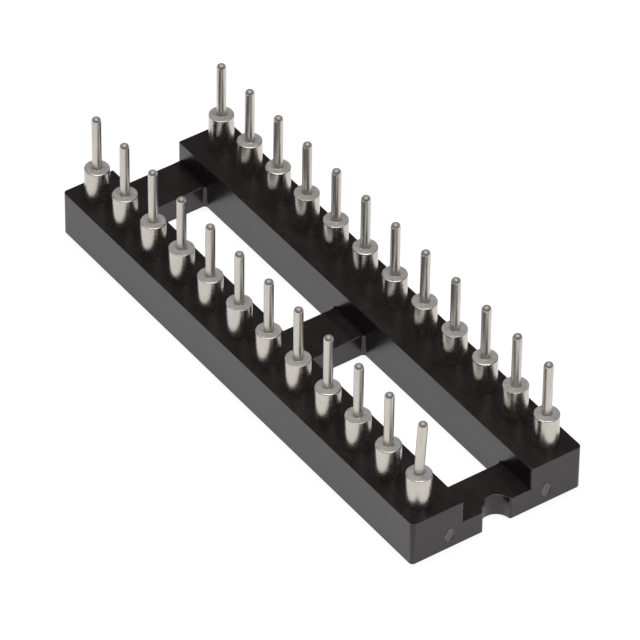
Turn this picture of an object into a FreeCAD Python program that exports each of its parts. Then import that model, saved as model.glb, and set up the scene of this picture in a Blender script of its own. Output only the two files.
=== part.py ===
import FreeCAD, Part
import os

import Sketcher

Vector = FreeCAD.Vector

# A dual-in-line socket for an integrated circuit, with two rows of turned contacts, lying on its contact face.
# X runs along the rows towards the notched end, Y across them, and Z up from the contact face to the tail tips.

# The driving sizes, in millimetres, degrees and counts.
SIZES = {
    # Spacing of the contacts
    "pitch": 2.54,
    "row_spacing": 7.62,
    "contacts_per_row": 12,
    # Insulator, with margins from the outermost contacts' axes to its faces
    "end_margin": 1.27,
    "side_margin": 1.27,
    "body_height": 2.6,
    "window_width": 4.04,
    "bar_height": 1.3,
    "end_bar_thickness": 2.46,
    "middle_bar_thickness": 2.54,
    "notch_radius": 0.8,
    "outer_corner_radius": 0.22,
    "window_corner_radius": 0.2,
    "rail_end_corner_radius": 0.08,
    # Sleeve, with its eight-sided bore measured across the flats
    "barrel_diameter": 1.32,
    "standoff_height": 1.85,
    "mouth_recess": 0.05,
    "mouth_chamfer": 0.07,
    "bore_across_flats": 1.0,
    "bore_depth": 3.4,
    # Solder tail
    "tail_diameter": 0.5,
    "tail_length": 3.25,
    # The one tail that is bent, with its lean from upright and its heading from X
    "bent_tail_lean": 2.6,
    "bent_tail_heading": 54.5,
    "bend_radius": 1.5,
    "bend_above_root": 0.3,
    # Spring clip inside the sleeve
    "clip_sheet": 0.07,
    "clip_clearance": 0.01,
    "clip_recess": 0.1,
    "clip_length": 2.0,
    "clip_grip": 0.32,
}
ROWS = 2
BENT_CONTACT = 1

# Places that several features share, written once in terms of the sheet's values.
ROW_HALF_LENGTH = "(Sizes.contacts_per_row - 1) * Sizes.pitch / 2"
HALF_LENGTH = f"({ROW_HALF_LENGTH} + Sizes.end_margin)"
HALF_WIDTH = "(Sizes.row_spacing / 2 + Sizes.side_margin)"
HALF_WINDOW = "(Sizes.window_width / 2)"
STANDOFF_LEVEL = "(Sizes.body_height + Sizes.standoff_height)"
BARREL_RADIUS = "(Sizes.barrel_diameter / 2)"
TAIL_RADIUS = "(Sizes.tail_diameter / 2)"
TIP_LEVEL = f"({STANDOFF_LEVEL} + Sizes.tail_length)"
BEND_LEVEL = f"({STANDOFF_LEVEL} + Sizes.bend_above_root)"
HALF_BORE = "(Sizes.bore_across_flats / 2)"
CLIP_LEVEL = "(Sizes.mouth_recess + Sizes.mouth_chamfer + Sizes.clip_recess)"
HALF_COLLAR = f"(({HALF_BORE} - Sizes.clip_clearance) / sqrt(2))"

CLOSE = 1e-4

document = FreeCAD.newDocument("ic_socket")


def make_sheet():
    """Fill the spreadsheet that every sub-part takes its sizes from."""
    sheet = document.addObject("Spreadsheet::Sheet", "Sizes")
    for row, (name, value) in enumerate(SIZES.items(), start=1):
        sheet.set(f"A{row}", name)
        sheet.set(f"B{row}", str(value))
        sheet.setAlias(f"B{row}", name)
    document.recompute()


def number(formula):
    """The present value of a formula in the sheet's values."""
    return float(document.Sizes.evalExpression(formula.replace("Sizes.", "")))


def new_body(label):
    body = document.addObject("PartDesign::Body", label)
    body.Label = label
    return body


def origin_feature(body, role):
    return next(f for f in body.Origin.OriginFeatures if f.Role == role)


def new_sketch(body, name, plane, offset="0"):
    """A sketch on one of the body's own origin planes, raised along the plane's normal by a formula."""
    sketch = body.newObject("Sketcher::SketchObject", f"{body.Label}_{name}")
    sketch.AttachmentSupport = [(origin_feature(body, plane), "")]
    sketch.MapMode = "FlatFace"
    sketch.setExpression("AttachmentOffset.Base.z", offset)
    return sketch


def new_feature(body, kind, name, sketch=None):
    feature = body.newObject(f"PartDesign::{kind}", f"{body.Label}_{name}")
    if sketch is not None:
        feature.Profile = sketch
        sketch.Visibility = False
    return feature


def place_point(sketch, geometry, point, across, up):
    """Hold a point of the sketch at two formulas, measured from the sketch's origin."""
    for kind, formula, axis in (("DistanceX", across, -2), ("DistanceY", up, -1)):
        if formula == "0":
            sketch.addConstraint(Sketcher.Constraint("PointOnObject", geometry, point, axis))
            continue
        held = sketch.addConstraint(Sketcher.Constraint(kind, -1, 1, geometry, point, number(formula)))
        sketch.setExpression(f"Constraints[{held}]", formula)


def draw_outline(sketch, corners):
    """Draw a closed outline with straight sides through corners given as pairs of formulas."""
    first = sketch.GeometryCount
    points = [Vector(number(across), number(up), 0) for across, up in corners]
    for start, end in zip(points, points[1:] + points[:1]):
        sketch.addGeometry(Part.LineSegment(start, end), False)
    for index, (across, up) in enumerate(corners):
        side, previous = first + index, first + (index - 1) % len(corners)
        sketch.addConstraint(Sketcher.Constraint("Coincident", previous, 2, side, 1))
        place_point(sketch, side, 1, across, up)


def draw_circle(sketch, across, up, radius):
    circle = Part.Circle(Vector(number(across), number(up), 0), Vector(0, 0, 1), number(radius))
    index = sketch.addGeometry(circle, False)
    held = sketch.addConstraint(Sketcher.Constraint("Radius", index, number(radius)))
    sketch.setExpression(f"Constraints[{held}]", radius)
    place_point(sketch, index, 3, across, up)


def draw_axis(sketch, across, low, high):
    """A construction line along the sketch's second axis, for a feature to turn about."""
    start = Vector(number(across), number(low), 0)
    end = Vector(number(across), number(high), 0)
    index = sketch.addGeometry(Part.LineSegment(start, end), True)
    place_point(sketch, index, 1, across, low)
    place_point(sketch, index, 2, across, high)


def rectangle(left, right, front, back):
    return [(left, front), (right, front), (right, back), (left, back)]


def square(half):
    return rectangle(f"-{half}", half, f"-{half}", half)


def octagon(half):
    """The corners of a regular octagon, with this distance from its centre to its flats."""
    short = f"({half} * tan(22.5))"
    right = [(half, f"-{short}"), (half, short)]
    top = [(short, half), (f"-{short}", half)]
    left = [(f"-{half}", short), (f"-{half}", f"-{short}")]
    bottom = [(f"-{short}", f"-{half}"), (short, f"-{half}")]
    return right + top + left + bottom


def pad(body, name, sketch, length):
    feature = new_feature(body, "Pad", name, sketch)
    feature.setExpression("Length", length)
    return feature


def pocket(body, name, sketch, length=None, reverse=False):
    """Cut the sketch's outlines out of the body, to a depth or right through."""
    feature = new_feature(body, "Pocket", name, sketch)
    if length is None:
        feature.Type = "ThroughAll"
    else:
        feature.setExpression("Length", length)
    feature.Reversed = reverse
    return feature


def revolve(body, name, sketch, axis="V_Axis", angle="360"):
    feature = new_feature(body, "Revolution", name, sketch)
    feature.ReferenceAxis = (sketch, [axis])
    feature.setExpression("Angle", angle)
    return feature


def upright_edges(feature, places, low, high):
    """The names of the feature's upright edges that stand at one of these places between two levels."""
    found = []
    for index, edge in enumerate(feature.Shape.Edges, start=1):
        box = edge.BoundBox
        if box.XLength > CLOSE or box.YLength > CLOSE:
            continue
        if box.ZMin < low - CLOSE or box.ZMax > high + CLOSE:
            continue
        here = Vector(box.Center.x, box.Center.y, 0)
        if any((here - Vector(x, y, 0)).Length < CLOSE for x, y in places):
            found.append(f"Edge{index}")
    return found


def straight_edges_at(feature, level):
    """The names of the feature's straight edges that lie flat at a level."""
    found = []
    for index, edge in enumerate(feature.Shape.Edges, start=1):
        box = edge.BoundBox
        flat = abs(box.ZMin - level) < CLOSE and abs(box.ZMax - level) < CLOSE
        if flat and isinstance(edge.Curve, Part.Line):
            found.append(f"Edge{index}")
    return found


def upright_faces(feature, distance):
    """The names of the feature's upright faces whose middles stand this far from its axis."""
    found = []
    for index, face in enumerate(feature.Shape.Faces, start=1):
        middle = face.CenterOfMass
        upright = abs(face.normalAt(0, 0).z) < CLOSE
        if upright and abs(max(abs(middle.x), abs(middle.y)) - distance) < CLOSE:
            found.append(f"Face{index}")
    return found


def lowest_face(feature):
    levels = [face.CenterOfMass.z for face in feature.Shape.Faces]
    return f"Face{levels.index(min(levels)) + 1}"


def slope_walls(body, name, distance, angle, reverse):
    """Tilt the four walls that stand this far from the axis, about their lower edges."""
    base = body.Tip
    feature = new_feature(body, "Draft", name)
    feature.Base = (base, upright_faces(base, number(distance)))
    feature.NeutralPlane = (base, [lowest_face(base)])
    feature.setExpression("Angle", angle)
    feature.Reversed = reverse
    document.recompute()


def round_upright(body, name, places, low, high, radius):
    """Round the upright edges at these places."""
    base = body.Tip
    feature = new_feature(body, "Fillet", name)
    feature.Base = (base, upright_edges(base, places, low, high))
    feature.setExpression("Radius", radius)
    document.recompute()


def mirrored_places(x, y):
    return [(sign_x * x, sign_y * y) for sign_x in (-1, 1) for sign_y in (-1, 1)]


def make_frame(body):
    """The two rails and the three lower bars between them, with the notch that marks one end."""
    block = new_sketch(body, "block_outline", "XY_Plane")
    draw_outline(block, rectangle(f"-{HALF_LENGTH}", HALF_LENGTH, f"-{HALF_WIDTH}", HALF_WIDTH))
    pad(body, "block", block, "Sizes.body_height")

    trough = new_sketch(body, "trough_outline", "XY_Plane", "Sizes.body_height")
    draw_outline(trough, rectangle(f"-{HALF_LENGTH}", HALF_LENGTH, f"-{HALF_WINDOW}", HALF_WINDOW))
    pocket(body, "trough", trough, "Sizes.body_height - Sizes.bar_height")

    windows = new_sketch(body, "window_outlines", "XY_Plane")
    inner, outer = "(Sizes.middle_bar_thickness / 2)", f"({HALF_LENGTH} - Sizes.end_bar_thickness)"
    for left, right in ((f"-{outer}", f"-{inner}"), (inner, outer)):
        draw_outline(windows, rectangle(left, right, f"-{HALF_WINDOW}", HALF_WINDOW))
    pocket(body, "windows", windows, reverse=True)

    notch = new_sketch(body, "notch_outline", "XY_Plane")
    draw_circle(notch, HALF_LENGTH, "0", "Sizes.notch_radius")
    pocket(body, "notch", notch, reverse=True)
    document.recompute()


def round_frame(body):
    """The moulded roundings of the upright edges."""
    half_length, half_width, half_window = number(HALF_LENGTH), number(HALF_WIDTH), number(HALF_WINDOW)
    top, bar_top = number("Sizes.body_height"), number("Sizes.bar_height")
    window_ends = (number("Sizes.middle_bar_thickness") / 2, half_length - number("Sizes.end_bar_thickness"))
    outer = mirrored_places(half_length, half_width)
    inner = [place for x in window_ends for place in mirrored_places(x, half_window)]
    rail_ends = mirrored_places(half_length, half_window)
    round_upright(body, "outer_corners", outer, 0, top, "Sizes.outer_corner_radius")
    round_upright(body, "window_corners", inner, 0, bar_top, "Sizes.window_corner_radius")
    round_upright(body, "rail_end_corners", rail_ends, bar_top, top, "Sizes.rail_end_corner_radius")


def make_seats(body):
    """The straight hole through a rail for each sleeve, the sleeve being pressed into it."""
    outline = new_sketch(body, "seat_outline", "XY_Plane")
    draw_circle(outline, f"-{ROW_HALF_LENGTH}", "-Sizes.row_spacing / 2", BARREL_RADIUS)
    seat = pocket(body, "seat", outline, reverse=True)
    seats = new_feature(body, "LinearPattern", "seats")
    seats.Originals = [seat]
    seats.Direction = (origin_feature(body, "X_Axis"), [""])
    seats.setExpression("Length", f"2 * {ROW_HALF_LENGTH}")
    seats.Direction2 = (origin_feature(body, "Y_Axis"), [""])
    seats.setExpression("Length2", "Sizes.row_spacing")
    body.Tip = seats
    seats.setExpression("Occurrences", "Sizes.contacts_per_row")
    seats.Occurrences2 = ROWS


def make_insulator():
    """The moulded insulator, one piece."""
    body = new_body("insulator")
    make_frame(body)
    round_frame(body)
    make_seats(body)
    return body


def barrel_outline():
    """Half of the sleeve's section, from its mouth up the barrel to the tail's root."""
    return [
        ("0", "Sizes.mouth_recess"),
        (BARREL_RADIUS, "Sizes.mouth_recess"),
        (BARREL_RADIUS, STANDOFF_LEVEL),
        (TAIL_RADIUS, STANDOFF_LEVEL),
    ]


def bore(body):
    """The blind bore for the clip, with a lead-in at its mouth."""
    outline = new_sketch(body, "bore_outline", "XY_Plane", "Sizes.mouth_recess")
    draw_outline(outline, octagon(HALF_BORE))
    drilled = pocket(body, "bore", outline, "Sizes.bore_depth - Sizes.mouth_recess", reverse=True)
    document.recompute()
    mouth = new_feature(body, "Chamfer", "mouth")
    mouth.Base = (drilled, straight_edges_at(drilled, number("Sizes.mouth_recess")))
    mouth.setExpression("Size", "Sizes.mouth_chamfer")


def make_sleeve(body):
    """A turned sleeve with a straight tail."""
    profile = new_sketch(body, "profile", "XZ_Plane")
    draw_outline(profile, barrel_outline() + [(TAIL_RADIUS, TIP_LEVEL), ("0", TIP_LEVEL)])
    revolve(body, "turned", profile)
    bore(body)


def make_bent_sleeve(body):
    """The same sleeve with its tail bent over a little above the root, towards the body's own X."""
    profile = new_sketch(body, "profile", "XZ_Plane")
    draw_outline(profile, barrel_outline() + [(TAIL_RADIUS, BEND_LEVEL), ("0", BEND_LEVEL)])
    revolve(body, "turned", profile)

    section = new_sketch(body, "bend_section", "XY_Plane", BEND_LEVEL)
    draw_circle(section, "0", "0", TAIL_RADIUS)
    draw_axis(section, "Sizes.bend_radius", f"-{TAIL_RADIUS}", TAIL_RADIUS)
    revolve(body, "bend", section, axis="Axis0", angle="Sizes.bent_tail_lean")

    rest = new_sketch(body, "tail_profile", "XZ_Plane")
    rest.setExpression("AttachmentOffset.Base.x", "Sizes.bend_radius * (1 - cos(Sizes.bent_tail_lean))")
    rest.setExpression(
        "AttachmentOffset.Base.y", f"{BEND_LEVEL} + Sizes.bend_radius * sin(Sizes.bent_tail_lean)"
    )
    rest.setExpression("AttachmentOffset.Rotation.Angle", "-Sizes.bent_tail_lean")
    bend_length = "Sizes.bend_radius * Sizes.bent_tail_lean * pi / 180"
    left = f"(Sizes.tail_length - Sizes.bend_above_root - {bend_length})"
    draw_outline(rest, rectangle("0", TAIL_RADIUS, "0", left))
    revolve(body, "tail", rest)
    bore(body)
    body.setExpression("Placement.Rotation.Angle", "Sizes.bent_tail_heading")


def make_clip(body):
    """A spring clip folded from sheet into a square tube, whose four walls close towards a lead."""
    half_mouth = f"({HALF_COLLAR} - Sizes.clip_sheet)"
    outline = new_sketch(body, "outline", "XY_Plane", CLIP_LEVEL)
    for half in (HALF_COLLAR, half_mouth):
        draw_outline(outline, square(half))
    pad(body, "tube", outline, "Sizes.clip_length")
    document.recompute()
    closing = f"atan(({half_mouth} - Sizes.clip_grip / 2) / Sizes.clip_length)"
    slope_walls(body, "inside", half_mouth, closing, reverse=True)
    slope_walls(body, "outside", HALF_COLLAR, closing, reverse=False)


def contact_places():
    """Each contact's number and its place as formulas: along one row from the notched end, back along the other."""
    per_row = SIZES["contacts_per_row"]
    for index in range(per_row):
        yield index + 1, f"{ROW_HALF_LENGTH} - {index} * Sizes.pitch", "-Sizes.row_spacing / 2"
    for index in range(per_row):
        yield per_row + index + 1, f"{index} * Sizes.pitch - {ROW_HALF_LENGTH}", "Sizes.row_spacing / 2"


def put(body, x, y):
    body.setExpression("Placement.Base.x", x)
    body.setExpression("Placement.Base.y", y)


def make_contacts():
    """All the sleeves, and the clips inside them."""
    made = []
    for index, x, y in contact_places():
        sleeve = new_body(f"sleeve_{index:02d}")
        if index == BENT_CONTACT:
            make_bent_sleeve(sleeve)
        else:
            make_sleeve(sleeve)
        clip = new_body(f"clip_{index:02d}")
        make_clip(clip)
        for body in (sleeve, clip):
            put(body, x, y)
            made.append(body)
    return made


def check(bodies):
    """Stop if anything failed to rebuild, or if a piece isn't one sound solid."""
    failed = [item.Name for item in document.Objects if {"Invalid", "Error"} & set(item.State)]
    if failed:
        raise SystemExit(f"failed to rebuild: {failed}")
    for body in bodies:
        shape = body.Shape
        if shape.isNull() or not shape.isValid() or len(shape.Solids) != 1:
            raise SystemExit(f"{body.Label} isn't one valid solid")


def write(bodies):
    os.makedirs("parts", exist_ok=True)
    for body in bodies:
        body.Shape.exportStep(f"parts/{body.Label}.step")


def main():
    make_sheet()
    bodies = [make_insulator()] + make_contacts()
    document.recompute()
    check(bodies)
    write(bodies)


main()
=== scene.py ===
import math
import random

import bmesh
import bpy
from mathutils import Matrix, Vector
from mathutils.noise import noise as noise_at


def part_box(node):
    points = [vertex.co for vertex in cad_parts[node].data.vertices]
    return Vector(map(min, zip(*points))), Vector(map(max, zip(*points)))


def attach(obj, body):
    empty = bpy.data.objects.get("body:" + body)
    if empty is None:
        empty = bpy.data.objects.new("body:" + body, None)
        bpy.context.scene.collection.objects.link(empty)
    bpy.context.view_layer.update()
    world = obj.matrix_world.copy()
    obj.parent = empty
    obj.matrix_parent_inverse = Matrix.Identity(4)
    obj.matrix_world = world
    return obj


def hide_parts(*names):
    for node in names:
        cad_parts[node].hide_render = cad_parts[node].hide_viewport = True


# A dual-in-line socket with turned contacts, lying on its contact face with its solder tails up.
# Lengths are in millimetres, apart from the studio's, and a finished mesh is scaled to metres.

MM = 0.001
SEED = 24
SAME = 0.001  # points and levels closer than this are one
WELD = 0.002  # points closer than this are joined after edges are rounded
PITCH = 2.54
ROW_SPACING = 7.62
PER_ROW = 12
CONTACTS = range(1, 2 * PER_ROW + 1)

# Turned sleeve: levels above the contact face, radii, and the small edges between them.
MOUTH = 0.05
BORE_FLOOR = 3.4
STANDOFF = 4.45
TIP = 7.70
BORE = 0.5
BARREL = 0.66
TAIL = 0.25
MOUTH_CHAMFER = 0.07
FOOT_CHAMFER = 0.02
BARREL_EDGES = (0.012, 0.07)  # the least and the most that a barrel's end is rounded
ROOT_FILLET = 0.02
TIP_ROUNDING = 0.235
TIP_SHADED_SATIN_HEIGHT = 0.09  # the height of a tip's satin top, where the tin is painted darker as painted shade
SEGMENTS = 64
EDGE_STEPS = 8
ROOT_STEPS = 4
BEND_STEPS = 4
TIP_STEPS = 14
SLEEVE_CREASE = math.radians(38)
FACES_UP = 0.9  # the least Z of the normal of a face that looks up; such faces of a ring get tin painted darker, as painted shade
# The ring and the tip's top get tin painted darker than the barrel, as painted shade on faces that
# look up.
BARREL_FINISH, TAIL_FINISH, RING_MATT_PAINTED_SHADE, TIP_SATIN_PAINTED_SHADE = range(4)

# The one bent tail.
BENT_CONTACT = 1
BEND_START = STANDOFF + 0.3
BEND_RADIUS = 1.5
BEND_LEAN = math.radians(2.6)
BEND_HEADING = math.radians(54.5)

# Spring clip, a collar with four fingers. Its levels are above its own mouth.
CLIP_MOUTH = 0.22
CLIP_LENGTH = 2.0
CLIP_COLLAR = 0.45
CLIP_SHEET = 0.07
CLIP_GAP = 0.32
CLIP_PLAY = 0.01
CLIP_HALF = (BORE - CLIP_PLAY) / math.sqrt(2)
CLIP_SLIT = 0.05
CLIP_SIDES = 4
FINGER_POINT = 1  # of the three points along a side, the one where its finger begins
FINGER_LEVELS = (CLIP_COLLAR + 0.5, CLIP_LENGTH - 0.15, CLIP_LENGTH)

# Insulator.
BAR_TOP = 1.3
BAR_STRAIGHT = 1.78  # how far from the middle a bar's top edge is straight
BAR_MARGIN = 0.01
BAR_REACH_IN = 0.1  # an edge along the straight ends at least this far inside it
BAR_EDGE_LENGTH = 0.5  # shorter edges belong to the roundings
SEAT_REACH = BARREL + 0.02
FLAT = math.radians(0.5)
CORNER = math.radians(40)
EDGE_ROUNDING = 0.028
EDGE_ROUNDING_STEPS = 3
NOTCH_ROUNDING = 0.11
NOTCH_ROUNDING_STEPS = 4
INSULATOR_CREASE = math.radians(50)

# Gate marks: two ovals in the notched end, torn out with ragged rims.
GATES = (-2.83, 2.97)
GATE_HALF_WIDTH = 0.29
GATE_HALF_HEIGHT = 0.48
GATE_LEVEL = 0.86
GATE_LOBES = 3
GATE_LOBE_HEIGHT = 0.05
GATE_RIPPLES = 7
GATE_RIPPLE_HEIGHT = 0.03
GATE_DEPTH = 0.03
GATE_RIM = 0.97  # beyond this share of its radius a gate is level with the face
GATE_TEAR = 0.75  # beyond this share it is torn deeper along its upper edge
GATE_TEAR_DEPTH = 0.055
GATE_TEAR_HEADING = math.radians(115)
GATE_STREAK_DEPTH = 0.014
GATE_STREAKS_ACROSS = 9
GATE_STREAKS_UP = 2.5
GATE_GRAIN_DEPTH = 0.01
GATE_GRAIN = 15
GATE_RINGS = 14
GATE_SPOKES = 48
GATE_FLOOR = (0.002, 0.3)  # how far behind the end a face of a gate lies
GATE_FLOOR_REACH = 0.95
GATE_CREASE_REACH = 1.2
CUTTER_DEPTH = 0.2  # how far the cutter stands out of the end

# Noise, refraction and the studio, whose lengths are in metres.
NOISE_RANGE = (0.3, 0.7)  # a noise stays mostly within this range
RING_DETAIL = 3.0
PLASTIC_IOR = 1.55
FLOOR_HALF = 0.6
FLOOR_LEVEL = -0.00001
FLOOR_GREY = 0.85
FLOOR_GLOW = 1.08
FLOOR_GLOW_SHARE = 0.78  # the rest is the lit floor, with the shadow in it
ROOM_LIGHT = 0.12
WHITE = (1, 1, 1, 1)

# Each lamp's name, azimuth and elevation in degrees, distance, size and power.
LAMPS = (
    ("overhead", 234, 88, 0.45, 0.3, 2.0),
    ("left", -60, 66, 0.5, 0.2, 0.3),
    ("right", 100, 62, 0.5, 0.2, 0.3),
)

# The camera, from a fit to the tail tips, the barrels and the insulator's edges in the photograph.
CAMERA_AZIMUTH = 54.514
CAMERA_ELEVATION = 40.722
CAMERA_ROLL = math.radians(0.703)
CAMERA_DISTANCE = 336.212
CAMERA_ACROSS = 0.178
CAMERA_UP = 1.776
PIXELS_PER_MM = 20.014
IMAGE_WIDTH = 640
SENSOR_WIDTH = 36
CLIP_RANGE = (0.01, 5)  # in metres


# Meshes


def place_object(name, data):
    """A new object in the scene."""
    made = bpy.data.objects.new(name, data)
    bpy.context.scene.collection.objects.link(made)
    return made


def bridge(shape, low, high):
    """Faces between two rings of vertices, of which one may be a single vertex."""
    count = max(len(low), len(high))
    faces = []
    for i in range(count):
        j = (i + 1) % count
        corners = (low[i % len(low)], low[j % len(low)], high[j % len(high)], high[i % len(high)])
        faces.append(shape.faces.new(dict.fromkeys(corners)))
    return faces


def to_metres(shape, name):
    """Write a bmesh drawn in millimetres to a new mesh in metres."""
    mesh = bpy.data.meshes.new(name)
    bmesh.ops.recalc_face_normals(shape, faces=shape.faces)
    bmesh.ops.scale(shape, vec=(MM, MM, MM), verts=shape.verts)
    shape.to_mesh(mesh)
    shape.free()
    return mesh


def with_modifier(mesh, kind, **settings):
    """The mesh that a modifier makes of this one."""
    holder = place_object("holder", mesh)
    modifier = holder.modifiers.new(kind.lower(), kind)
    for name, value in settings.items():
        setattr(modifier, name, value)
    graph = bpy.context.evaluated_depsgraph_get()
    made = bpy.data.meshes.new_from_object(holder.evaluated_get(graph))
    bpy.data.objects.remove(holder)
    return made


def shaded(mesh, crease_angle, crease_at=lambda vertex: False):
    """The mesh with smooth roundings, creased past an angle and at some vertices."""
    shape = bmesh.new()
    shape.from_mesh(mesh)
    for face in shape.faces:
        face.smooth = True
    for edge in shape.edges:
        past_angle = edge.calc_face_angle(0) > crease_angle
        edge.smooth = not (past_angle or any(crease_at(v) for v in edge.verts))
    shape.to_mesh(mesh)
    shape.free()
    return with_modifier(mesh, "WEIGHTED_NORMAL", keep_sharp=True)


def add_piece(name, mesh, node, slot, *materials):
    """A visible piece in place of a CAD node, on the part's one body."""
    piece = place_object(name, mesh)
    for material in materials:
        mesh.materials.append(material)
    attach(piece, "root")
    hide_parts(node)


def contact_axis(number):
    """A contact's axis: the near row from the notched end, and back along the far row."""
    if number <= PER_ROW:
        along, side = PER_ROW - number, -1
    else:
        along, side = number - PER_ROW - 1, 1
    return Vector(((along - (PER_ROW - 1) / 2) * PITCH, side * ROW_SPACING / 2, 0))


# Turned sleeves


def arc(centre, radius, start, end, steps):
    """Points of an arc in the profile's plane, with its angles in degrees."""
    turns = [math.radians(start + (end - start) * i / steps) for i in range(steps + 1)]
    return [(centre[0] + radius * math.cos(t), centre[1] + radius * math.sin(t)) for t in turns]


def sleeve_profile(edge):
    """A sleeve's section as radius and level, from the bore's floor round to the domed tip."""
    chamfer_top = MOUTH + MOUTH_CHAMFER
    bore = [(0, BORE_FLOOR), (BORE, BORE_FLOOR), (BORE, chamfer_top), (BORE + MOUTH_CHAMFER, MOUTH)]
    foot = [(BARREL - FOOT_CHAMFER, MOUTH), (BARREL, MOUTH + FOOT_CHAMFER)]
    barrel_end = arc((BARREL - edge, STANDOFF - edge), edge, 0, 90, EDGE_STEPS)
    root_centre = (TAIL + ROOT_FILLET, STANDOFF + ROOT_FILLET)
    root = arc(root_centre, ROOT_FILLET, 270, 180, ROOT_STEPS)
    bend_levels = [BEND_RADIUS * BEND_LEAN * i / BEND_STEPS for i in range(BEND_STEPS + 1)]
    bend = [(TAIL, BEND_START + level) for level in bend_levels]
    tip = arc((TAIL - TIP_ROUNDING, TIP - TIP_ROUNDING), TIP_ROUNDING, 0, 90, TIP_STEPS)
    return bore + foot + barrel_end + root + bend + tip + [(0, TIP)]


def bend_tail(point):
    """Carry a point of a straight tail to where the bent tail has it."""
    if point.z <= BEND_START:
        return point
    along = point.z - BEND_START
    angle = min(along / BEND_RADIUS, BEND_LEAN)
    sine, cosine = math.sin(angle), math.cos(angle)
    straight = along - angle * BEND_RADIUS
    heading = Vector((math.cos(BEND_HEADING), math.sin(BEND_HEADING), 0))
    level = heading.dot(point)
    beside = Vector((point.x, point.y, 0)) - heading * level
    out = BEND_RADIUS * (1 - cosine) + straight * sine + level * cosine
    up = BEND_RADIUS * sine + straight * cosine - level * sine
    return beside + heading * out + Vector((0, 0, BEND_START + up))


def profile_ring(shape, radius, level, axis, bent):
    """One ring of vertices round a contact's axis, or a single vertex on the axis."""
    ring = []
    for i in range(SEGMENTS if radius else 1):
        turn = 2 * math.pi * i / SEGMENTS
        point = Vector((radius * math.cos(turn), radius * math.sin(turn), level))
        ring.append(shape.verts.new(axis + (bend_tail(point) if bent else point)))
    return ring


def turn_sleeve(number, profile):
    """A sleeve's mesh. The v of its UV runs along the profile and carries the turning marks."""
    shape = bmesh.new()
    uv = shape.loops.layers.uv.new("along")
    axis = contact_axis(number)
    rings = [profile_ring(shape, r, z, axis, number == BENT_CONTACT) for r, z in profile]
    lengths = [0]
    for a, b in zip(profile, profile[1:]):
        lengths.append(lengths[-1] + math.dist(a, b))
    for k in range(len(rings) - 1):
        low, high = rings[k], rings[k + 1]
        for i, face in enumerate(bridge(shape, low, high)):
            for loop in face.loops:
                length = lengths[k] if loop.vert in low else lengths[k + 1]
                loop[uv].uv = (i / SEGMENTS, length)
    return to_metres(shape, f"turned_sleeve_{number:02d}")


def sleeve_finish_or_painted_shade(polygon):
    """Which of a sleeve's finishes a face has: the ring and the tip's top have tin painted darker,
    as painted shade.
    """
    level = polygon.center.z / MM
    if level > TIP - TIP_SHADED_SATIN_HEIGHT:
        return TIP_SATIN_PAINTED_SHADE
    if level > STANDOFF + ROOT_FILLET:
        return TAIL_FINISH
    return RING_MATT_PAINTED_SHADE if polygon.normal.z > FACES_UP else BARREL_FINISH


def make_sleeves(*finishes_and_painted_shades):
    """The sleeves, of which no two have quite the same edge at the end of the barrel."""
    for number in CONTACTS:
        profile = sleeve_profile(random.uniform(*BARREL_EDGES))
        mesh = shaded(turn_sleeve(number, profile), SLEEVE_CREASE)
        for polygon in mesh.polygons:
            polygon.material_index = sleeve_finish_or_painted_shade(polygon)
        name = f"turned_sleeve_{number:02d}"
        add_piece(name, mesh, f"sleeve_{number:02d}", "sleeve", *finishes_and_painted_shades)


# Spring clips


def clip_wall(level):
    """How far the inner side of a clip's wall stands from its axis, at a level."""
    foot = CLIP_HALF - CLIP_SHEET
    return foot + (CLIP_GAP / 2 - foot) * level / CLIP_LENGTH


def clip_point(shape, axis, side, offset, across, level):
    """A new vertex on one side of a clip."""
    spin = Matrix.Rotation(side * math.pi / 2, 3, "Z")
    return shape.verts.new(axis + spin @ Vector((offset, across, CLIP_MOUTH + level)))


def clip_loop(shape, axis, level, offset, finger):
    """Vertices round the collar: on each side a corner and the two edges of its finger."""
    places = [(side, across) for side in range(CLIP_SIDES) for across in (-offset, -finger, finger)]
    return [clip_point(shape, axis, side, offset, across, level) for side, across in places]


def clip_finger(shape, axis, side, base):
    """One finger, raised from the four vertices of its base on the collar."""
    low = base
    for level in FINGER_LEVELS:
        inner = clip_wall(level)
        outer = inner + CLIP_SHEET
        half = inner - CLIP_SLIT
        corners = ((inner, -half), (inner, half), (outer, half), (outer, -half))
        high = [clip_point(shape, axis, side, x, y, level) for x, y in corners]
        bridge(shape, low, high)
        low = high
    shape.faces.new(low)


def fold_clip(number):
    """A clip's mesh: a square collar and four fingers that close towards the bore's floor."""
    shape = bmesh.new()
    axis = contact_axis(number)
    finger = clip_wall(CLIP_COLLAR) - CLIP_SLIT
    loops = []
    for level in (0, CLIP_COLLAR):
        wall = clip_wall(level)
        loops.append(clip_loop(shape, axis, level, wall, finger))
        loops.append(clip_loop(shape, axis, level, wall + CLIP_SHEET, finger))
    inner_low, outer_low, inner_high, outer_high = loops
    bridge(shape, inner_low, inner_high)
    bridge(shape, outer_low, outer_high)
    bridge(shape, inner_low, outer_low)
    count = len(inner_high)
    for i in range(count):
        j = (i + 1) % count
        side, point = divmod(i, count // CLIP_SIDES)
        rim = (inner_high[i], inner_high[j], outer_high[j], outer_high[i])
        if point == FINGER_POINT:
            clip_finger(shape, axis, side, rim)
        else:
            shape.faces.new(rim)
    return to_metres(shape, f"spring_clip_{number:02d}")


def make_clips(material):
    for number in CONTACTS:
        name = f"spring_clip_{number:02d}"
        add_piece(name, fold_clip(number), f"clip_{number:02d}", "clip", material)


# Insulator


def on_bar_top(vertex):
    return abs(vertex.co.z - BAR_TOP) < SAME


def round_a_seat(edge):
    """Whether an edge belongs to the rim of a hole that a sleeve fills."""
    middle = (edge.verts[0].co + edge.verts[1].co) / 2
    axes = [contact_axis(number) for number in CONTACTS]
    return any(math.hypot(middle.x - axis.x, middle.y - axis.y) < SEAT_REACH for axis in axes)


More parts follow.
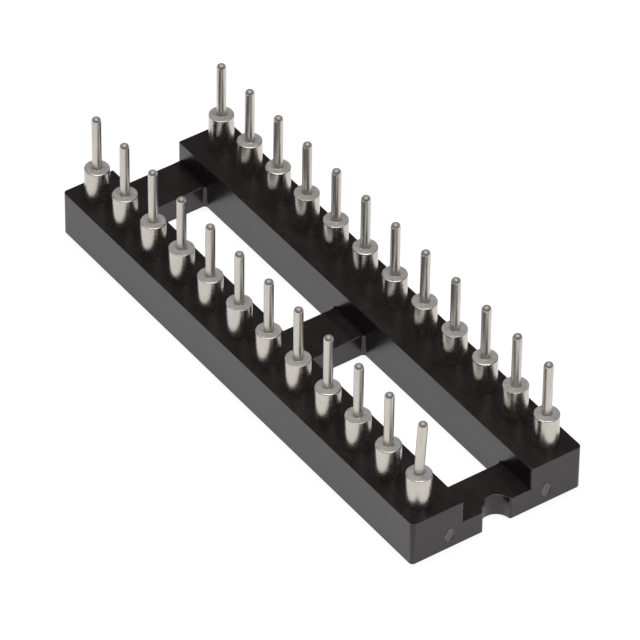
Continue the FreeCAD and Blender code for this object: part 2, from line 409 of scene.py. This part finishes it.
def corner_edges(shape):
    """The insulator's sharp outward edges, apart from the rims of its holes."""
    found = [e for e in shape.edges if e.is_convex and e.calc_face_angle() > CORNER]
    return [e for e in found if not round_a_seat(e)]


def round_edges(shape, edges, radius, steps):
    """Round these edges, and join what the rounding leaves closer than a weld."""
    bmesh.ops.bevel(
        shape,
        geom=edges,
        offset=radius,
        offset_type="OFFSET",
        segments=steps,
        profile=0.5,
        affect="EDGES",
        clamp_overlap=False,
    )
    bmesh.ops.remove_doubles(shape, verts=shape.verts, dist=WELD)


def part_bar_edges(shape):
    """Part the bars' top edges where the rails' roundings begin, to round only the straight."""
    corners = [v for v in shape.verts if on_bar_top(v) and abs(v.co.y) > BAR_STRAIGHT]
    for corner in corners:
        for edge in list(corner.link_edges):
            other = edge.other_vert(corner)
            length = edge.calc_length()
            straight = abs(other.co.x - corner.co.x) < SAME and on_bar_top(other)
            crosses = other.co.y * corner.co.y < 0
            reaches_in = crosses or abs(other.co.y) < BAR_STRAIGHT - BAR_REACH_IN
            if straight and reaches_in and length > BAR_EDGE_LENGTH:
                bmesh.utils.edge_split(edge, corner, (abs(corner.co.y) - BAR_STRAIGHT) / length)


def beside_rail(edge):
    """Whether an edge of a bar's top runs in the corner between the bar and a rail."""
    outside = any(abs(v.co.y) > BAR_STRAIGHT + BAR_MARGIN for v in edge.verts)
    return outside and all(on_bar_top(v) for v in edge.verts)


def mould_insulator():
    """The CAD's insulator with the edge roundings of a moulding."""
    shape = bmesh.new()
    shape.from_mesh(bpy.data.objects["insulator"].data)
    bmesh.ops.scale(shape, vec=(1 / MM, 1 / MM, 1 / MM), verts=shape.verts)
    bmesh.ops.remove_doubles(shape, verts=shape.verts, dist=SAME)
    bmesh.ops.dissolve_limit(shape, angle_limit=FLAT, verts=shape.verts, edges=shape.edges)
    corners = corner_edges(shape)
    upright = [e for e in corners if abs(e.verts[0].co.z - e.verts[1].co.z) > BAR_TOP / 2]
    round_edges(shape, upright, NOTCH_ROUNDING, NOTCH_ROUNDING_STEPS)
    part_bar_edges(shape)
    edges = [e for e in corner_edges(shape) if not beside_rail(e)]
    round_edges(shape, edges, EDGE_ROUNDING, EDGE_ROUNDING_STEPS)
    return to_metres(shape, "moulded_insulator")


def gate_rim(turn, middle):
    """How far a gate's ragged rim reaches, as a share of its oval's radius."""
    lobes = GATE_LOBE_HEIGHT * math.sin(GATE_LOBES * turn + middle)
    ripples = GATE_RIPPLE_HEIGHT * math.sin(GATE_RIPPLES * turn)
    return 1 + lobes + ripples


def gate_depth(share, turn, across, up):
    """How deep a gate is: level with the face at its rim, torn along its upper edge, streaked."""
    if share > GATE_RIM:
        return 0
    upper_edge = max(0, math.cos(turn - GATE_TEAR_HEADING)) * (share > GATE_TEAR)
    streak = noise_at(Vector((across * GATE_STREAKS_ACROSS, up * GATE_STREAKS_UP, 0)))
    grain = noise_at(Vector((across, up, 0)) * GATE_GRAIN)
    uneven = GATE_STREAK_DEPTH * streak + GATE_GRAIN_DEPTH * grain
    return GATE_DEPTH + GATE_TEAR_DEPTH * upper_edge + uneven


def gate_ring(shape, end, middle, share, outside):
    """One ring of a gate's cutter, at a share of its radius, in the gate or outside the end."""
    ring = []
    for i in range(GATE_SPOKES if share else 1):
        turn = 2 * math.pi * i / GATE_SPOKES
        reach = share * gate_rim(turn, middle)
        across = middle + GATE_HALF_WIDTH * reach * math.cos(turn)
        up = GATE_LEVEL + GATE_HALF_HEIGHT * reach * math.sin(turn)
        depth = -CUTTER_DEPTH if outside else gate_depth(share, turn, across, up)
        ring.append(shape.verts.new((end - depth, across, up)))
    return ring


def gate_cutter(end):
    """What is cut from the notched end at its two gates."""
    shape = bmesh.new()
    inwards = [1 - i / GATE_RINGS for i in range(GATE_RINGS + 1)]
    for middle in GATES:
        rings = [gate_ring(shape, end, middle, share, True) for share in (0, 1)]
        rings += [gate_ring(shape, end, middle, share, False) for share in inwards]
        for low, high in zip(rings, rings[1:]):
            bridge(shape, low, high)
    return place_object("gate_cutter", to_metres(shape, "gate_cutter"))


def in_gate(point, reach):
    """Whether a point in metres lies within a gate's oval, scaled by this reach."""
    up = (point.z / MM - GATE_LEVEL) / GATE_HALF_HEIGHT
    across = [(point.y / MM - middle) / GATE_HALF_WIDTH for middle in GATES]
    return min(math.hypot(share, up) for share in across) < reach


def make_insulator(moulded, broken):
    """The insulator with its two gate marks, where the plastic is broken."""
    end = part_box("insulator")[1][0]
    cutter = gate_cutter(end / MM)
    mesh = with_modifier(mould_insulator(), "BOOLEAN", object=cutter, solver="EXACT")
    bpy.data.objects.remove(cutter)

    def crease_at(vertex):
        """Where a rounding runs out beside a rail, and round the rim of a gate."""
        on_end = abs(abs(vertex.co.x) - end) < SAME * MM
        beside = abs(vertex.co.z - BAR_TOP * MM) < SAME * MM
        return on_end and (beside or in_gate(vertex.co, GATE_CREASE_REACH))

    mesh = shaded(mesh, INSULATOR_CREASE, crease_at)
    nearest, deepest = GATE_FLOOR
    for polygon in mesh.polygons:
        behind = nearest * MM < end - polygon.center.x < deepest * MM
        polygon.material_index = int(behind and in_gate(polygon.center, GATE_FLOOR_REACH))
    add_piece("moulded_insulator", mesh, "insulator", "insulator", moulded, broken)


# Nodes


def set_inputs(tree, node, values):
    """Give each named input its value, or link it to another node's output."""
    for name, value in values.items():
        if isinstance(value, bpy.types.NodeSocket):
            tree.links.new(value, node.inputs[name])
        else:
            node.inputs[name].default_value = value


def add_node(tree, kind, values, **settings):
    """The outputs of a new node with these inputs and settings."""
    node = tree.nodes.new("ShaderNode" + kind)
    for name, value in settings.items():
        setattr(node, name, value)
    set_inputs(tree, node, values)
    return node.outputs


def new_material(name):
    """A new material and its node tree."""
    material = bpy.data.materials.new(name)
    material.use_nodes = True
    return material, material.node_tree


def noise(tree, scale, detail, roughness, stretch=(1, 1, 1)):
    """Noise over the object in millimetres, with each axis scaled by its own factor."""
    place = add_node(tree, "TexCoord", {})["Object"]
    factors = tuple(factor / MM for factor in stretch)
    scaled = add_node(tree, "Mapping", {"Vector": place, "Scale": factors})["Vector"]
    values = {"Vector": scaled, "Scale": scale, "Detail": detail, "Roughness": roughness}
    return add_node(tree, "TexNoise", values)["Fac"]


def turning_marks(tree, scale):
    """Noise that varies only along a turned piece's profile, so it draws rings round the piece."""
    along = add_node(tree, "UVMap", {}, uv_map="along")["UV"]
    length = add_node(tree, "SeparateXYZ", {"Vector": along})["Y"]
    values = {"W": length, "Scale": scale, "Detail": RING_DETAIL}
    return add_node(tree, "TexNoise", values, noise_dimensions="1D")["Fac"]


def spread(tree, source, low, high):
    """Map a noise onto a range."""
    least, most = NOISE_RANGE
    values = {"Value": source, "From Min": least, "From Max": most, "To Min": low, "To Max": high}
    return add_node(tree, "MapRange", values)["Result"]


def mottle(tree, source, first, second):
    """A colour between two, which follows a noise."""
    values = {"Factor": spread(tree, source, 0, 1), "A": (*first, 1), "B": (*second, 1)}
    return add_node(tree, "Mix", values, data_type="RGBA")["Result"]


def relief(tree, *layers):
    """Reliefs laid one over another, each a height and its depth in millimetres."""
    under = {}
    for height, depth in layers:
        values = {"Height": height, "Distance": depth * MM, "Strength": 1.0}
        normal = add_node(tree, "Bump", values | under)["Normal"]
        under = {"Normal": normal}
    return normal


def maths(tree, operation, first, second):
    return add_node(tree, "Math", {0: first, 1: second}, operation=operation)["Value"]


# Materials


def dress(material, tree, values):
    """The material with these inputs of its shader set."""
    set_inputs(tree, tree.nodes["Principled BSDF"], values)
    return material


def plastic():
    """Black glass-filled plastic, moulded smooth, with faint flow marks and a fine grain."""
    material, tree = new_material("black_plastic")
    flow = noise(tree, scale=1.3, detail=5.0, roughness=0.6, stretch=(0.5, 1, 1))
    grain = noise(tree, scale=11.0, detail=4.0, roughness=0.6)
    values = {
        "Base Color": mottle(tree, flow, (0.0048, 0.0029, 0.0031), (0.0085, 0.0056, 0.0058)),
        "Roughness": spread(tree, flow, 0.22, 0.30),
        "Normal": relief(tree, (flow, 0.0015), (grain, 0.0003)),
        "IOR": PLASTIC_IOR,
        "Specular Tint": (1.0, 0.955, 0.98, 1),
    }
    return dress(material, tree, values)


def broken_plastic():
    """The same plastic where the runner was broken off, rough and a little lighter."""
    material, tree = new_material("broken_plastic")
    torn = noise(tree, scale=8.0, detail=5.0, roughness=0.7, stretch=(1, 1, 0.35))
    values = {
        "Base Color": mottle(tree, torn, (0.03, 0.028, 0.029), (0.21, 0.202, 0.205)),
        "Roughness": spread(tree, torn, 0.35, 0.6),
        "Normal": relief(tree, (torn, 0.025)),
        "IOR": PLASTIC_IOR,
    }
    return dress(material, tree, values)


def tin():
    """Tin plate over turned brass, with fine turning rings and streaks drawn along it."""
    material, tree = new_material("tin_plate")
    cloud = noise(tree, scale=2.4, detail=4.0, roughness=0.6)
    streak = noise(tree, scale=9.0, detail=3.0, roughness=0.6, stretch=(1, 1, 0.12))
    rings = turning_marks(tree, scale=17.0)
    values = {
        "Base Color": mottle(tree, cloud, (0.52, 0.485, 0.438), (0.60, 0.565, 0.515)),
        "Metallic": 1.0,
        "Roughness": spread(tree, cloud, 0.23, 0.31),
        "Normal": relief(tree, (streak, 0.0022), (rings, 0.0014)),
    }
    return dress(material, tree, values)


def drawn_tin():
    """Tin plate on the tail, with long streaks along it."""
    material, tree = new_material("drawn_tin_plate")
    cloud = noise(tree, scale=3.0, detail=4.0, roughness=0.6, stretch=(1, 1, 0.3))
    streak = noise(tree, scale=11.0, detail=3.0, roughness=0.6, stretch=(1, 1, 0.035))
    values = {
        "Base Color": mottle(tree, cloud, (0.55, 0.512, 0.462), (0.62, 0.585, 0.535)),
        "Metallic": 1.0,
        "Roughness": spread(tree, streak, 0.28, 0.38),
        "Normal": relief(tree, (streak, 0.006)),
    }
    return dress(material, tree, values)


def faced_tin_with_painted_shade():
    """Tin plate on the faced end of the barrel, matt from the tool, and painted darker than the
    barrel as painted shade.
    """
    material, tree = new_material("faced_tin_plate_painted_shade")
    cloud = noise(tree, scale=5.0, detail=5.0, roughness=0.7)
    values = {
        # Painted shade: darker than the barrel's tin, on faces that look up.
        "Base Color": mottle(tree, cloud, (0.29, 0.277, 0.27), (0.46, 0.44, 0.43)),
        "Metallic": 1.0,
        "Roughness": spread(tree, cloud, 0.62, 0.72),
        "Normal": relief(tree, (turning_marks(tree, scale=22.0), 0.004)),
    }
    return dress(material, tree, values)


def satin_tin_with_painted_shade():
    """Tin plate on the top of the domed tip, with a satin finish and painted darker as painted
    shade that dims the lamp's glint.
    """
    material, tree = new_material("satin_tin_plate_painted_shade")
    cloud = noise(tree, scale=6.0, detail=4.0, roughness=0.6)
    values = {
        # Painted shade: darker than the barrel's tin, so the lamp's glint on the tip renders grey.
        "Base Color": mottle(tree, cloud, (0.29, 0.278, 0.265), (0.37, 0.355, 0.34)),
        "Metallic": 1.0,
        "Roughness": spread(tree, cloud, 0.62, 0.70),
        "Normal": relief(tree, (turning_marks(tree, scale=30.0), 0.002)),
    }
    return dress(material, tree, values)


def gold():
    """Gold plate over thin spring sheet, with faint rolling marks along it."""
    material, tree = new_material("gold_plate")
    marks = noise(tree, scale=14.0, detail=3.0, roughness=0.5, stretch=(1, 1, 0.1))
    values = {
        "Base Color": mottle(tree, marks, (0.78, 0.56, 0.24), (0.9, 0.68, 0.34)),
        "Metallic": 1.0,
        "Roughness": spread(tree, marks, 0.22, 0.32),
        "Normal": relief(tree, (marks, 0.002)),
    }
    return dress(material, tree, values)


# Studio


def floor_material():
    """Pale floor: white where it is seen or mirrored, with the object's own shadow left in it."""
    material, tree = new_material("floor")
    tree.nodes.remove(tree.nodes["Principled BSDF"])
    path = add_node(tree, "LightPath", {})
    mirrored = maths(tree, "MAXIMUM", path["Is Glossy Ray"], path["Is Transmission Ray"])
    seen = maths(tree, "MAXIMUM", path["Is Camera Ray"], mirrored)
    share = maths(tree, "MULTIPLY", seen, FLOOR_GLOW_SHARE)
    grey = (FLOOR_GREY, FLOOR_GREY, FLOOR_GREY, 1)
    matt = add_node(tree, "BsdfDiffuse", {"Color": grey})["BSDF"]
    glow = add_node(tree, "Emission", {"Strength": FLOOR_GLOW})["Emission"]
    both = add_node(tree, "MixShader", {0: share, 1: matt, 2: glow})["Shader"]
    set_inputs(tree, tree.nodes["Material Output"], {"Surface": both})
    return material


def make_floor():
    mesh = bpy.data.meshes.new("floor")
    signs = ((-1, -1), (1, -1), (1, 1), (-1, 1))
    corners = [(x * FLOOR_HALF, y * FLOOR_HALF, FLOOR_LEVEL) for x, y in signs]
    mesh.from_pydata(corners, [], [(0, 1, 2, 3)])
    mesh.materials.append(floor_material())
    floor = place_object("floor", mesh)


def make_world():
    """White where it is seen directly, and a dim grey room otherwise."""
    world = bpy.data.worlds.new("studio")
    bpy.context.scene.world = world
    world.use_nodes = True
    tree = world.node_tree
    seen = add_node(tree, "LightPath", {})["Is Camera Ray"]
    values = {"Value": seen, "To Min": ROOM_LIGHT, "To Max": 1.0}
    strength = add_node(tree, "MapRange", values)["Result"]
    set_inputs(tree, tree.nodes["Background"], {"Color": WHITE, "Strength": strength})


def direction(azimuth, elevation):
    """The way to a place round the object, in degrees: 0 is on the -Y side, 90 on the +X side."""
    a, e = math.radians(azimuth), math.radians(elevation)
    return Vector((math.sin(a) * math.cos(e), -math.cos(a) * math.cos(e), math.sin(e)))


def make_lamp(name, azimuth, elevation, distance, size, power):
    """A soft square lamp aimed at the object."""
    lamp = bpy.data.lights.new(name, "AREA")
    lamp.shape = "SQUARE"
    lamp.size = size
    lamp.energy = power
    back = direction(azimuth, elevation)
    holder = place_object(name, lamp)
    holder.location = back * distance
    holder.rotation_mode = "QUATERNION"
    holder.rotation_quaternion = back.to_track_quat("Z", "Y")


def make_camera():
    """The camera at the photograph's angle, with the photograph's scale."""
    back = direction(CAMERA_AZIMUTH, CAMERA_ELEVATION)
    level = Vector((0, 0, 1)).cross(back).normalized()
    upright = back.cross(level)
    right = level * math.cos(CAMERA_ROLL) + upright * math.sin(CAMERA_ROLL)
    up = upright * math.cos(CAMERA_ROLL) - level * math.sin(CAMERA_ROLL)
    camera = bpy.data.cameras.new("camera")
    camera.sensor_width = SENSOR_WIDTH
    camera.lens = PIXELS_PER_MM * CAMERA_DISTANCE / IMAGE_WIDTH * SENSOR_WIDTH
    camera.clip_start, camera.clip_end = CLIP_RANGE
    holder = place_object("camera", camera)
    place = (back * CAMERA_DISTANCE + right * CAMERA_ACROSS + up * CAMERA_UP) * MM
    turn = Matrix((right, up, back)).transposed().to_4x4()
    holder.matrix_world = Matrix.Translation(place) @ turn
    bpy.context.scene.camera = holder


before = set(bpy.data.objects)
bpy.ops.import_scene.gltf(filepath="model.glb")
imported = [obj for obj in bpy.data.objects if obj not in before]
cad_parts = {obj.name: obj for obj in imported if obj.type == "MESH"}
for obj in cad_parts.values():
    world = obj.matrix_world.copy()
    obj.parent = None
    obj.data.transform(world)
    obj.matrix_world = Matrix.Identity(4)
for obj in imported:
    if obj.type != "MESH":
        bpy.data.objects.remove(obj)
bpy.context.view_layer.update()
random.seed(SEED)
bpy.context.scene.view_settings.view_transform = "Standard"
make_insulator(plastic(), broken_plastic())
# The last two tins are painted darker, as painted shade.
make_sleeves(tin(), drawn_tin(), faced_tin_with_painted_shade(), satin_tin_with_painted_shade())
make_clips(gold())
make_floor()
make_world()
for lamp in LAMPS:
    make_lamp(*lamp)
make_camera()
